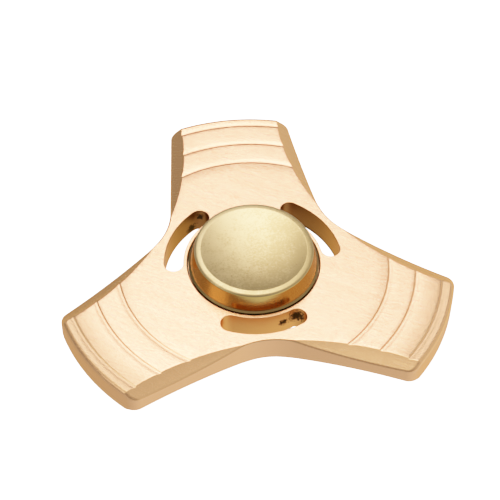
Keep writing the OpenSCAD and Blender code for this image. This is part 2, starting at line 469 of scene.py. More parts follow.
@dataclass(frozen=True)
class TurnedSteel(Finish):
    """Ground or rolled steel with fine rings round the spin axis."""

    name: str
    colour: Colour
    roughness: float
    ring_scale: float = 6.0
    ring_depth: float = 0.004
    smudge: Colour = (0.30, 0.29, 0.28)

    def paint(self, book: NodeBook) -> dict[str, Any]:
        """Writes the nodes."""
        place, _, _, z, r = book.round_axis()
        rings = book.noise(book.vector(r, z, 0.0), self.ring_scale, 3.0, 0.6)
        grain = book.noise(place, 4.0, 3.0, 0.6)
        oil = book.noise(place, 0.8, 2.0, 0.5).ramp(0.55, 0.75)
        return {
            "Base Color": book.mix(0.30 * oil + 0.25 * rings, self.colour, self.smudge),
            "Metallic": 1.0,
            "Roughness": self.roughness + 0.12 * (rings - 0.5) + 0.10 * (grain - 0.5),
            "Normal": book.bump(rings, self.ring_depth),
        }


@dataclass(frozen=True)
class PolishedBalls(Finish):
    """Mirror-polished bearing steel with a thin film of oil."""

    name: str = "ball_polished"
    colour: Colour = (0.78, 0.79, 0.81)
    film: Colour = (0.66, 0.62, 0.52)
    speck_depth: float = 0.0006

    def paint(self, book: NodeBook) -> dict[str, Any]:
        """Writes the nodes."""
        place = book.object_mm()
        film = book.noise(place, 1.6, 2.0, 0.5).ramp(0.45, 0.7)
        specks = book.noise(place, 12.0, 1.0)
        return {
            "Base Color": book.mix(0.5 * film, self.colour, self.film),
            "Metallic": 1.0,
            "Roughness": 0.05 + 0.10 * film + 0.03 * specks,
            "Normal": book.bump(specks, self.speck_depth),
        }


@dataclass(frozen=True)
class PaleFloor(Finish):
    """A matt white floor that glows a little, so that it stays pale."""

    name: str = "floor_white"
    grey: float = 0.88
    roughness: float = 0.9
    glow: float = 4.0

    def paint(self, book: NodeBook) -> dict[str, Any]:
        """Needs no nodes."""
        return {
            "Base Color": (self.grey, self.grey, self.grey, 1.0),
            "Roughness": self.roughness,
            "Emission Color": (1.0, 1.0, 1.0, 1.0),
            "Emission Strength": self.glow,
        }


# ---------------------------------------------------------------- meshes


class MeshDraft:
    """Vertices and faces on the way to a mesh object, in millimetres."""

    def __init__(self) -> None:
        """Starts empty."""
        self.points: list[tuple[float, float, float]] = []
        self.faces: list[tuple[int, ...]] = []

    def add(self, points: np.ndarray, faces: Sequence[Sequence[int]]) -> int:
        """Adds points, and faces that count from the first of them.

        Args:
            points: An array of n by 3.
            faces: Corners of each face.

        Returns:
            The index of the first point added.
        """
        start = len(self.points)
        self.points.extend(map(tuple, points))
        self.faces.extend(tuple(start + i for i in face) for face in faces)
        return start

    def mesh(self, name: str) -> bpy.types.Mesh:
        """Makes the mesh, in metres.

        Args:
            name: The mesh's name.

        Returns:
            A mesh with smooth faces.
        """
        mesh = bpy.data.meshes.new(name)
        mesh.from_pydata([[c * MM for c in p] for p in self.points], [], self.faces)
        mesh.polygons.foreach_set("use_smooth", [True] * len(mesh.polygons))
        mesh.update()
        return mesh


def show(mesh: bpy.types.Mesh, name: str) -> bpy.types.Object:
    """Puts a mesh in the scene as an object at the origin."""
    piece = bpy.data.objects.new(name, mesh)
    bpy.context.scene.collection.objects.link(piece)
    return piece


def faces_out(mesh: bpy.types.Mesh) -> None:
    """Turns every face of a closed mesh outwards."""
    work = bmesh.new()
    work.from_mesh(mesh)
    bmesh.ops.recalc_face_normals(work, faces=work.faces)
    work.to_mesh(mesh)
    work.free()


def open_edges(mesh: bpy.types.Mesh) -> int:
    """How many edges of a mesh aren't shared by two faces."""
    work = bmesh.new()
    work.from_mesh(mesh)
    count = sum(1 for edge in work.edges if len(edge.link_faces) != 2)
    work.free()
    return count


def rounded(corners: Sequence[tuple[float, float, float]], steps: int = 4) -> list[Point]:
    """Rounds the corners of a section.

    Args:
        corners: Radius, height and rounding of each corner, in order.
        steps: Edges along each rounding.

    Returns:
        The section's points. The two ends are never rounded.
    """
    out: list[Point] = []
    for i, (r, z, fillet) in enumerate(corners):
        here = Vector((r, z))
        if fillet <= 0 or i in (0, len(corners) - 1):
            out.append((r, z))
            continue
        back = (Vector(corners[i - 1][:2]) - here).normalized()
        ahead = (Vector(corners[i + 1][:2]) - here).normalized()
        half = back.angle(ahead) / 2
        reach = fillet / math.tan(half)
        centre = here + (back + ahead).normalized() * fillet / math.sin(half)
        first, last = here + back * reach - centre, here + ahead * reach - centre
        sweep = first.angle_signed(last)
        for k in range(steps + 1):
            turn = Matrix.Rotation(-sweep * k / steps, 2)
            out.append(tuple(centre + turn @ first))
    return out


@dataclass(frozen=True)
class Turned:
    """A piece turned on a lathe about the spin axis."""

    name: str
    section: tuple[Point, ...]
    ring: bool
    segments: int = 192
    flip: bool = False
    crisp_angle: float = math.radians(32)

    def build(self) -> bpy.types.Object:
        """Turns the section into a closed mesh.

        Returns:
            The object. Edges sharper than a rounding stay crisp.
        """
        draft = MeshDraft()
        sign = -1.0 if self.flip else 1.0
        angles = np.arange(self.segments) * FULL_TURN / self.segments
        rows: list[list[int]] = []
        for r, z in self.section:
            if r < SAME_PLACE:
                start = draft.add(np.array([[0.0, 0.0, sign * z]]), [])
                rows.append([start] * self.segments)
                continue
            circle = np.stack([r * np.cos(angles), r * np.sin(angles), np.full_like(angles, sign * z)], 1)
            start = draft.add(circle, [])
            rows.append([start + i for i in range(self.segments)])
        pairs = list(zip(rows, rows[1:] + rows[:1])) if self.ring else list(zip(rows, rows[1:]))
        for low, high in pairs:
            for i in range(self.segments):
                j = (i + 1) % self.segments
                corners = dict.fromkeys((low[i], low[j], high[j], high[i]))
                draft.faces.append(tuple(corners))
        mesh = draft.mesh(self.name)
        faces_out(mesh)
        mesh.set_sharp_from_angle(angle=self.crisp_angle)
        return show(mesh, self.name)


# ---------------------------------------------------------------- geometry nodes


class GeometryTree:
    """A Geometry Nodes tree with named inputs, used once and baked to a plain mesh."""

    def __init__(self, name: str) -> None:
        """Makes a tree that takes and gives a geometry.

        Args:
            name: The tree's name.
        """
        self.tree = bpy.data.node_groups.new(name, "GeometryNodeTree")
        self.inputs: dict[str, str] = {}
        self.defaults: dict[str, Any] = {}
        self.tree.interface.new_socket("Geometry", in_out="INPUT", socket_type="NodeSocketGeometry")
        self.tree.interface.new_socket("Geometry", in_out="OUTPUT", socket_type="NodeSocketGeometry")
        self.group_in = self.tree.nodes.new("NodeGroupInput")
        self.group_out = self.tree.nodes.new("NodeGroupOutput")

    def input(self, name: str, kind: str, value: Any) -> bpy.types.NodeSocket:
        """Adds a named input.

        Args:
            name: What the input is called.
            kind: Its socket type, such as "Float".
            value: The value that it is used with.

        Returns:
            The socket to link from.
        """
        item = self.tree.interface.new_socket(name, in_out="INPUT", socket_type=f"NodeSocket{kind}")
        self.inputs[name] = item.identifier
        self.defaults[name] = value
        return self.group_in.outputs[name]

    def node(self, kind: str, inputs: Inputs | None = None, **settings: Any) -> bpy.types.Node:
        """Adds a node, with its own properties given by name."""
        return wire(self.tree, kind, settings, inputs)

    def finish(self, geometry: bpy.types.NodeSocket, material: bpy.types.NodeSocket, merge_mm: float) -> None:
        """Ends the tree in Realize Instances, Merge by Distance and Set Material.

        Args:
            geometry: The geometry so far.
            material: The input that holds the material.
            merge_mm: How close points are when they become one.
        """
        real = self.node("GeometryNodeRealizeInstances", {0: geometry})
        close = {"Geometry": real.outputs[0], "Distance": merge_mm * MM}
        merged = self.node("GeometryNodeMergeByDistance", close)
        dressed = self.node("GeometryNodeSetMaterial", {"Geometry": merged.outputs[0], "Material": material})
        self.tree.links.new(dressed.outputs[0], self.group_out.inputs[0])

    def bake(self, carrier: bpy.types.Object, name: str) -> bpy.types.Object:
        """Runs the tree on an object and keeps the result as a plain mesh.

        Args:
            carrier: The object whose mesh goes in. It is removed.
            name: The name of the piece that comes out.

        Returns:
            The piece.
        """
        modifier = carrier.modifiers.new("build", "NODES")
        modifier.node_group = self.tree
        for label, identifier in self.inputs.items():
            modifier[identifier] = self.defaults[label]
        evaluated = carrier.evaluated_get(bpy.context.evaluated_depsgraph_get())
        mesh = bpy.data.meshes.new_from_object(evaluated)
        mesh.name = name
        bpy.data.objects.remove(carrier)
        return show(mesh, name)


# ---------------------------------------------------------------- plate


@dataclass(frozen=True)
class PlateShape:
    """The plate's shape, as heights over an arm that points along +Y."""

    tip_r: float
    face_z: float
    bore_r: float
    recess_r: float
    waist_r: float = 16.0
    waist_arc_r: float = 11.4
    arm_taper: float = math.radians(6.5)
    corner_r: float = 2.0
    tip_edge: float = 0.8
    side_edge: float = 0.30
    bevel_r: float = 45.0
    bevel_slope: float = math.radians(25.6)
    bevel_half_w: float = 8.4
    bevel_y: float = 29.9
    bevel_blend: float = 0.06
    bevel_hollow: float = 0.10
    bevel_hollow_w: float = 0.7
    groove_count: int = 3
    groove_r: float = 22.1
    groove_pitch: float = 4.36
    groove_step: float = 0.022
    land_fall: float = 0.008
    slot_r: float = 13.08
    slot_w: float = 3.14
    slot_half_angle: float = math.radians(24.3)
    slot_edge: float = 0.10
    recess_depth: float = 0.6
    recess_edge: float = 0.2

    # points along each stretch of the outline and of a slot
    WAIST_STEPS, SIDE_STEPS, CORNER_STEPS, TIP_STEPS = 16, 36, 20, 18
    SLOT_SIDE_STEPS, SLOT_END_STEPS = 14, 17
    ROW_GAP = 1.1
    NEWTON_STEPS = 6

    # a groove's section: distance out from its inner edge, and depth, from land_fall to groove_step
    GROOVE_SECTION = (
        (-0.16, 0.008), (-0.06, 0.022), (0.02, 0.056), (0.10, 0.084), (0.19, 0.094),
        (0.40, 0.088), (0.54, 0.070), (0.70, 0.046), (0.86, 0.030), (1.00, 0.022),
    )
    # shares of a land's width at which it has a row of points
    LAND_ROWS = (0.04, 0.09, 0.16, 0.27, 0.44, 0.64, 0.84)
    # shares of a rounding's width at which it has a row of points
    ROUND_ROWS = (0.0, 0.035, 0.13, 0.3, 0.55, 0.78, 1.0)

    @property
    def side_normal(self) -> np.ndarray:
        """The outward normal of the arm's side on +X."""
        return np.array([math.cos(self.arm_taper), math.sin(self.arm_taper)])

    @property
    def hollow(self) -> np.ndarray:
        """The centre of the hollow curve between two arms."""
        reach = self.waist_r + self.waist_arc_r
        return reach * np.array([math.sin(THIRD_TURN), math.cos(THIRD_TURN)])

    @property
    def side_distance(self) -> float:
        """How far the straight side's line is from the spin axis."""
        return float(self.hollow @ self.side_normal) - self.waist_arc_r

    @property
    def corner_swing(self) -> float:
        """The angle that a rounded corner turns through."""
        return math.acos((self.side_distance - self.corner_r) / (self.tip_r - self.corner_r))

    @property
    def corner(self) -> np.ndarray:
        """The centre of the rounded corner."""
        angle = self.arm_taper + self.corner_swing
        return (self.tip_r - self.corner_r) * np.array([math.cos(angle), math.sin(angle)])

    def outline(self) -> tuple[np.ndarray, np.ndarray, np.ndarray]:
        """The edge of half an arm, from the waist's middle to the tip's middle.

        Returns:
            Points, outward normals, and the size of the rounding at each.
        """
        tau = self.arm_taper
        points, normals, shares = [], [], []

        def put(point: np.ndarray, angle: float, share: float) -> None:
            """Adds a point whose outward normal has that angle."""
            points.append(point)
            normals.append((math.cos(angle), math.sin(angle)))
            shares.append(share)

        for angle in np.linspace(THIRD_TURN / 2, tau, self.WAIST_STEPS, endpoint=False):
            facing = np.array([math.cos(angle), math.sin(angle)])
            put(self.hollow - self.waist_arc_r * facing, angle, 0.0)
        start = self.hollow - self.waist_arc_r * self.side_normal
        end = self.corner + self.corner_r * self.side_normal
        for k in np.linspace(0, 1, self.SIDE_STEPS, endpoint=False):
            put(start + (end - start) * k, tau, 0.0)
        for k in np.linspace(0, 1, self.CORNER_STEPS, endpoint=False):
            angle = tau + self.corner_swing * k
            facing = np.array([math.cos(angle), math.sin(angle)])
            put(self.corner + self.corner_r * facing, angle, k)
        for angle in np.linspace(tau + self.corner_swing, math.pi / 2, self.TIP_STEPS):
            facing = np.array([math.cos(angle), math.sin(angle)])
            put(self.tip_r * facing, angle, 1.0)
        return np.array(points), np.array(normals), self._edge_size(np.array(shares))

    def slot_outline(self) -> tuple[np.ndarray, np.ndarray]:
        """The edge of half a slot, with normals that point into the metal.

        Returns:
            Points and normals, both ends being on the line between two arms.
        """
        middle, half_w = THIRD_TURN, self.slot_w / 2
        points, normals = [], []

        def ray(angle: float) -> np.ndarray:
            """The direction at an angle from the arm's centre line."""
            return np.array([math.sin(angle), math.cos(angle)])

        last = middle - self.slot_half_angle
        for angle in np.linspace(middle, last, self.SLOT_SIDE_STEPS, endpoint=False):
            points.append((self.slot_r - half_w) * ray(angle))
            normals.append(-ray(angle))
        centre, out, side = self.slot_r * ray(last), ray(last), -ray(last + math.pi / 2)
        for turn in np.linspace(math.pi, 0, self.SLOT_END_STEPS):
            facing = math.cos(turn) * out + math.sin(turn) * side
            points.append(centre + half_w * facing)
            normals.append(facing)
        for angle in np.linspace(last, middle, self.SLOT_SIDE_STEPS)[1:]:
            points.append((self.slot_r + half_w) * ray(angle))
            normals.append(ray(angle))
        return np.array(points), np.array(normals)

    def _edge_size(self, share: np.ndarray) -> np.ndarray:
        """The rounding's size, from the side's at 0 to the tip's at 1."""
        smooth = share * share * (3 - 2 * share)
        return self.side_edge + (self.tip_edge - self.side_edge) * smooth

    def edge(self, x: np.ndarray, y: np.ndarray) -> tuple[np.ndarray, np.ndarray]:
        """How deep points are inside the outline.

        Args:
            x: Distances from the arm's centre line.
            y: Distances out along the arm.

        Returns:
            The distance to the outline, positive inside, and the rounding's size there.
        """
        n, c = self.side_normal, self.corner
        u = c / np.hypot(*c)
        hx, hy = x - self.hollow[0], y - self.hollow[1]
        past = -hx * n[1] + hy * n[0]
        straight = self.side_distance - x * n[0] - y * n[1]
        side = np.where(past < 0, np.hypot(hx, hy) - self.waist_arc_r, straight)
        tip = self.tip_r - np.hypot(x, y)
        qx, qy = x - c[0], y - c[1]
        cross = n[0] * u[1] - n[1] * u[0]
        a, b = (qx * u[1] - qy * u[0]) / cross, (n[0] * qy - n[1] * qx) / cross
        at_corner = (a > 0) & (b > 0)
        turn = np.arctan2(n[0] * qy - n[1] * qx, n[0] * qx + n[1] * qy) / self.corner_swing
        share = np.where(at_corner, np.clip(turn, 0, 1), np.where(side < tip, 0.0, 1.0))
        distance = np.where(at_corner, self.corner_r - np.hypot(qx, qy), np.minimum(side, tip))
        return distance, self._edge_size(share)

    def slot_distance(self, x: np.ndarray, y: np.ndarray) -> np.ndarray:
        """Distance to the slot, negative inside it."""
        off = THIRD_TURN - np.arctan2(x, y)
        r = np.hypot(x, y)
        end = THIRD_TURN - self.slot_half_angle
        cx, cy = self.slot_r * math.sin(end), self.slot_r * math.cos(end)
        inside = np.abs(r - self.slot_r)
        return np.where(off < self.slot_half_angle, inside, np.hypot(x - cx, y - cy)) - self.slot_w / 2

    def depth_inside(self, x: np.ndarray, y: np.ndarray) -> np.ndarray:
        """How far points are from the nearest wall, positive in the metal."""
        return np.minimum(self.edge(x, y)[0], self.slot_distance(x, y))

    def land(self, r: np.ndarray) -> np.ndarray:
        """How far the face lies below the plate's full height, at a distance from the spin axis."""
        offsets, depths = zip(*self.GROOVE_SECTION)
        share = np.clip((r - self.groove_r + self.groove_pitch) / (self.groove_pitch + offsets[0]), 0, 1)
        drop = self.land_fall * share**3
        for i in range(self.groove_count):
            t = r - self.groove_r - i * self.groove_pitch
            last = i == self.groove_count - 1
            width = self.groove_pitch + offsets[0] - offsets[-1]
            u = np.clip((t - offsets[-1]) / width, 0, 1)
            rise = 0.4 * (1 - u) ** 2 + 0.6 * (1 - u) ** 8
            crown = self.groove_step * rise + (0 if last else self.land_fall) * u**3
            drop = np.where(t > offsets[-1], crown, drop)
            inside = (t >= offsets[0]) & (t <= offsets[-1])
            drop = np.where(inside, np.interp(t, offsets, depths), drop)
        return drop

    def land_rows(self) -> list[float]:
        """Distances from the spin axis at which the face has a row of points."""
        rows = list(np.arange(self.slot_r - self.slot_w / 2 - 0.3, self.groove_r - 1.0, self.ROW_GAP))
        for i in range(self.groove_count):
            edge = self.groove_r + i * self.groove_pitch
            rows.extend(edge + offset for offset, _ in self.GROOVE_SECTION)
            start = edge + self.GROOVE_SECTION[-1][0]
            stop = min(edge + self.groove_pitch + self.GROOVE_SECTION[0][0], self.tip_r - self.tip_edge)
            rows.extend(start + (stop - start) * share for share in self.LAND_ROWS)
        return rows

    def bevel_place(self, r: float, extra: float) -> Point | None:
        """Where the bevel meets the face at a distance from the spin axis.

        Args:
            r: The distance from the spin axis.
            extra: How much lower than the face to look.

        Returns:
            The point, or None if the two don't meet there.
        """
        drop = float(self.land(np.array([r]))[0]) + extra
        slope, curl = math.tan(self.bevel_slope), self.bevel_hollow / self.bevel_hollow_w
        inward = drop / (slope + curl)
        for _ in range(self.NEWTON_STEPS):
            fade = math.exp(-inward / self.bevel_hollow_w)
            depth = slope * inward + self.bevel_hollow * (1 - fade)
            inward += (drop - depth) / (slope + curl * fade)
        reach = self.bevel_r - inward
        centre = Vector((self.bevel_half_w + self.bevel_r, self.bevel_y))
        span = centre.length
        along = (r * r - reach * reach + span * span) / (2 * span)
        if abs(along) >= r:
            return None
        across = math.sqrt(r * r - along * along)
        unit = centre / span
        found = unit * along + Vector((-unit.y, unit.x)) * across
        return (found.x, found.y)

    @staticmethod
    def _round(distance: np.ndarray, size: np.ndarray | float) -> np.ndarray:
        """How far a rounded edge drops at a distance from the edge."""
        share = 1 - np.clip(distance / size, 1e-6, 1)
        return size * (1 - np.sqrt(np.clip(1 - share * share, 0, 1)))

    def height(self, x: np.ndarray, y: np.ndarray) -> np.ndarray:
        """The upper face's height above the plate's middle."""
        x = np.abs(x)
        r = np.hypot(x, y)
        land = -self.land(r)
        inward = self.bevel_r - np.hypot(x - self.bevel_half_w - self.bevel_r, y - self.bevel_y)
        hollow = self.bevel_hollow * (1 - np.exp(-np.clip(inward, 0, None) / self.bevel_hollow_w))
        bevel = -math.tan(self.bevel_slope) * inward - hollow
        k = self.bevel_blend
        share = np.clip(0.5 + 0.5 * (bevel - land) / k, 0, 1)
        base = bevel + (land - bevel) * share - k * share * (1 - share)
        distance, size = self.edge(x, y)
        base = base - self._round(distance, size)
        base = base - self._round(self.slot_distance(x, y), self.slot_edge)
        base = base - self._round(r - self.recess_r, self.recess_edge)
        return self.face_z + base

    def keeps(self, x: np.ndarray, y: np.ndarray) -> np.ndarray:
        """Which points are over metal, in the half arm that the mesh is made of."""
        angle = np.arctan2(x, y)
        inside = (angle > 0) & (angle < THIRD_TURN) & (np.hypot(x, y) > self.recess_r)
        return inside & (self.edge(x, y)[0] > 0) & (self.slot_distance(x, y) > 0)


class SpinnerBody:
    """The plate: half an arm's face is meshed, then mirrored, and repeated round the axis."""

    ARMS = 3
    SEAM = 1e-5
    WELD_MM = 0.0015

    def __init__(self, shape: PlateShape, finish: bpy.types.Material) -> None:
        """Keeps the shape and the finish."""
        self.shape = shape
        self.finish = finish

    def _lines(self) -> list[np.ndarray]:
        """The lines that the face's mesh follows, each an array of points."""
        shape, lines = self.shape, []
        points, normals, sizes = shape.outline()
        slot_points, slot_normals = shape.slot_outline()
        third = THIRD_TURN
        for share in shape.ROUND_ROWS:
            lines.append(points - normals * (sizes * share)[:, None])
            lines.append(slot_points + slot_normals * shape.slot_edge * share)
            angles = np.linspace(0, third, 41)
            r = shape.recess_r + shape.recess_edge * share
            lines.append(np.stack([r * np.sin(angles), r * np.cos(angles)], 1))
        rows = shape.land_rows()
        for r in rows:
            angles = np.linspace(0, third, 61)
            circle = np.stack([r * np.sin(angles), r * np.cos(angles)], 1)
            near = shape.edge(circle[:, 0], circle[:, 1])[0] > -1.5
            lines.append(circle[near])
        crease_rows = np.unique(np.concatenate([rows, np.linspace(17.0, shape.tip_r + 0.3, 34)]))
        for extra in (-0.06, -0.025, 0.0, 0.025, 0.06):
            found = [shape.bevel_place(r, extra) for r in crease_rows]
            lines.append(np.array([p for p in found if p and p[0] > 0]))
        inner, outer = shape.recess_r, shape.tip_r
        lines.append(np.array([(0.0, r) for r in np.linspace(inner, outer, 60)]))
        seam = np.array([math.sin(third), math.cos(third)])
        lines.append(np.array([seam * r for r in np.linspace(inner, shape.waist_r, 24)]))
        return lines

    def _face(self) -> tuple[np.ndarray, list[tuple[int, int, int]]]:
        """Meshes the face of half an arm.

        Returns:
            Points of n by 2, and triangles that wind anticlockwise.
        """
        points: list[Vector] = []
        edges: list[tuple[int, int]] = []
        for line in self._lines():
            start = len(points)
            points.extend(Vector((float(x), float(y))) for x, y in line)
            edges.extend((start + i, start + i + 1) for i in range(len(line) - 1))
        made, _, triangles, *_ = delaunay_2d_cdt(points, edges, [], 0, 1e-5)
        flat = np.array([(p.x, p.y) for p in made])
        middle = flat[np.array(triangles)].mean(1)
        keep = self.shape.keeps(middle[:, 0], middle[:, 1])
        kept = [tuple(t) for t, k in zip(triangles, keep) if k]
        used = sorted({i for t in kept for i in t})
        number = {old: new for new, old in enumerate(used)}
        return flat[used], [tuple(number[i] for i in t) for t in kept]

    def _rim_edges(self, flat: np.ndarray, faces: list[tuple[int, int, int]]) -> list[tuple[int, int]]:
        """The face's border edges that aren't on a seam with another copy."""
        seen: dict[tuple[int, int], tuple[int, int]] = {}
        for a, b, c in faces:
            for pair in ((a, b), (b, c), (c, a)):
                key = (min(pair), max(pair))
                if key in seen:
                    del seen[key]
                else:
                    seen[key] = pair
        angle = np.arctan2(flat[:, 0], flat[:, 1])
        on_centre = np.abs(flat[:, 0]) < self.SEAM
        on_waist = np.abs(angle - THIRD_TURN) < self.SEAM
        return [p for p in seen.values() if not (on_centre[list(p)].all() or on_waist[list(p)].all())]

    def _half_arm(self) -> tuple[MeshDraft, np.ndarray]:
        """Builds half an arm with both faces and its walls.

        Returns:
            The draft, and a normal for each of its points.
        """
        shape = self.shape
        flat, faces = self._face()
        x, y = flat[:, 0], flat[:, 1]
        z = shape.height(x, y)
        step = 1e-3
        slope_x = (shape.height(x + step, y) - shape.height(x - step, y)) / (2 * step)
        slope_y = (shape.height(x, y + step) - shape.height(x, y - step)) / (2 * step)
        normals = np.stack([-slope_x, -slope_y, np.ones_like(z)], 1)
        normals[np.abs(x) < self.SEAM, 0] = 0.0
        normals /= np.linalg.norm(normals, axis=1)[:, None]
        draft = MeshDraft()
        top = draft.add(np.stack([x, y, z], 1), faces)
        low = draft.add(np.stack([x, y, -z], 1), [t[::-1] for t in faces])
        extra_normals = [normals, normals * (1, 1, -1)]

        rim = self._rim_edges(flat, faces)
        r = np.hypot(x, y)
        hub_edges = [p for p in rim if r[list(p)].mean() < shape.recess_r + 0.05]
        wall_edges = [p for p in rim if p not in set(hub_edges)]
        out_x = shape.depth_inside(x - step, y) - shape.depth_inside(x + step, y)
        out_y = shape.depth_inside(x, y - step) - shape.depth_inside(x, y + step)
        outward = np.stack([out_x, out_y, np.zeros_like(z)], 1)
        for a, b in wall_edges:
            draft.faces.append((top + b, top + a, low + a, low + b))
            for i in (a, b):
                facing = outward[i] / np.linalg.norm(outward[i])
                extra_normals[0][i] = extra_normals[1][i] = facing
        extra_normals.append(self._hub_walls(draft, flat, hub_edges, top, low, extra_normals))
        return draft, np.concatenate(extra_normals)

    def _hub_walls(
        self,
        draft: MeshDraft,
        flat: np.ndarray,
        edges: list[tuple[int, int]],
        top: int,
        low: int,
        face_normals: list[np.ndarray],
    ) -> np.ndarray:
        """Adds the recess and the bore that the bearing is pressed into.

        Args:
            draft: Where the walls go.
            flat: The face's points.
            edges: The face's edges round the recess.
            top: Index of the upper face's first point.
            low: Index of the lower face's first point.
            face_normals: Normals of the upper and lower faces, whose rim is set here.

        Returns:
            Normals of the points added.
        """
        shape = self.shape
        floor = shape.face_z - shape.recess_depth
        soft, lead = 0.12, 0.2
        section = (
            (shape.recess_r, floor + soft, 180), (shape.recess_r - 0.3 * soft, floor + 0.3 * soft, 135),
            (shape.recess_r - soft, floor, 90), (shape.bore_r + lead, floor, 90),
            (shape.bore_r + 0.3 * lead, floor - 0.3 * lead, 135), (shape.bore_r, floor - lead, 180),
        )
        ring = sorted({i for pair in edges for i in pair})
        rays = flat[ring] / np.hypot(flat[ring, 0], flat[ring, 1])[:, None]
        order = {old: k for k, old in enumerate(ring)}
        for i, ray in zip(ring, rays):
            face_normals[0][i] = face_normals[1][i] = (-ray[0], -ray[1], 0.0)
        uppers, lowers, normals = [[top + i for i in ring]], [[low + i for i in ring]], []
        for radius, z, facing in section:
            lean, rise = math.cos(math.radians(facing)), math.sin(math.radians(facing))
            for sign, rows in ((1, uppers), (-1, lowers)):
                points = np.column_stack([rays * radius, np.full(len(rays), sign * z)])
                start = draft.add(points, [])
                rows.append([start + k for k in range(len(ring))])
                normals.append(np.column_stack([rays * lean, np.full(len(rays), sign * rise)]))
        for a, b in edges:
            p, q = order[a], order[b]
            for near, far in zip(uppers, uppers[1:]):
                draft.faces.append((near[q], near[p], far[p], far[q]))
            for near, far in zip(lowers, lowers[1:]):
                draft.faces.append((near[p], near[q], far[q], far[p]))
            draft.faces.append((uppers[-1][q], uppers[-1][p], lowers[-1][p], lowers[-1][q]))
        return np.concatenate(normals)

    def _arm(self) -> bpy.types.Object:
        """Mirrors the half arm and stores its normals in a form that turning keeps."""
        draft, normals = self._half_arm()
        points, mirror = np.array(draft.points), np.array([-1.0, 1.0, 1.0])
        whole = MeshDraft()
        whole.add(points, draft.faces)
        whole.add(points * mirror, [face[::-1] for face in draft.faces])
        both = np.concatenate([normals, normals * mirror])
        place = np.array(whole.points)[:, :2]
        out = place / np.hypot(place[:, 0], place[:, 1])[:, None]
        across = both[:, 1] * out[:, 0] - both[:, 0] * out[:, 1]
        kept = np.stack([(both[:, :2] * out).sum(1), across, both[:, 2]], 1)
        mesh = whole.mesh("arm")
        stored = mesh.attributes.new("turned_normal", "FLOAT_VECTOR", "POINT")
        stored.data.foreach_set("vector", kept.astype(np.float32).ravel())
        LOG.info("half an arm has %d points", len(points))
        return show(mesh, "arm")

    def _repeat(self, arm: bpy.types.Object) -> bpy.types.Object:
        """Copies the arm round the axis with Geometry Nodes."""
        tree = GeometryTree("arms_round_axis")
        arms = tree.input("Arms", "Int", self.ARMS)
        finish = tree.input("Finish", "Material", self.finish)
        spots = tree.node("GeometryNodePoints", {"Count": arms})
        index = tree.node("GeometryNodeInputIndex")
        share = tree.node("ShaderNodeMath", {0: index.outputs[0], 1: arms}, operation="DIVIDE")
        turn = tree.node("ShaderNodeMath", {0: share.outputs[0], 1: FULL_TURN}, operation="MULTIPLY")
        spin = tree.node("ShaderNodeCombineXYZ", {2: turn.outputs[0]})
        arm_in = tree.group_in.outputs[0]
        inputs = {"Points": spots.outputs[0], "Instance": arm_in, "Rotation": spin.outputs[0]}
        copies = tree.node("GeometryNodeInstanceOnPoints", inputs)
        tree.finish(copies.outputs[0], finish, self.WELD_MM)
        return tree.bake(arm, "spinner_plate")

    def build(self) -> bpy.types.Object:
        """Builds the plate.

        Returns:
            The piece, with its normals set and its ride declared.
        """
        piece = self._repeat(self._arm())
        mesh = piece.data
        count = len(mesh.vertices)
        place, kept = np.zeros(count * 3), np.zeros(count * 3)
        mesh.vertices.foreach_get("co", place)
        mesh.attributes["turned_normal"].data.foreach_get("vector", kept)
        place, kept = place.reshape(-1, 3), kept.reshape(-1, 3)
        out = place[:, :2] / np.hypot(place[:, 0], place[:, 1])[:, None]
        turned_x = out[:, 0] * kept[:, 0] - out[:, 1] * kept[:, 1]
        turned_y = out[:, 1] * kept[:, 0] + out[:, 0] * kept[:, 1]
        normals = np.stack([turned_x, turned_y, kept[:, 2]], 1)
        mesh.attributes.remove(mesh.attributes["turned_normal"])
        mesh.polygons.foreach_set("use_smooth", [True] * len(mesh.polygons))
        mesh.normals_split_custom_set_from_vertices(normals.tolist())
        declare(piece, Body.ROTOR, "spinner_body")
        LOG.info("%s: %d faces, %d open edges", piece.name, len(mesh.polygons), open_edges(mesh))
        return piece


# ---------------------------------------------------------------- hub


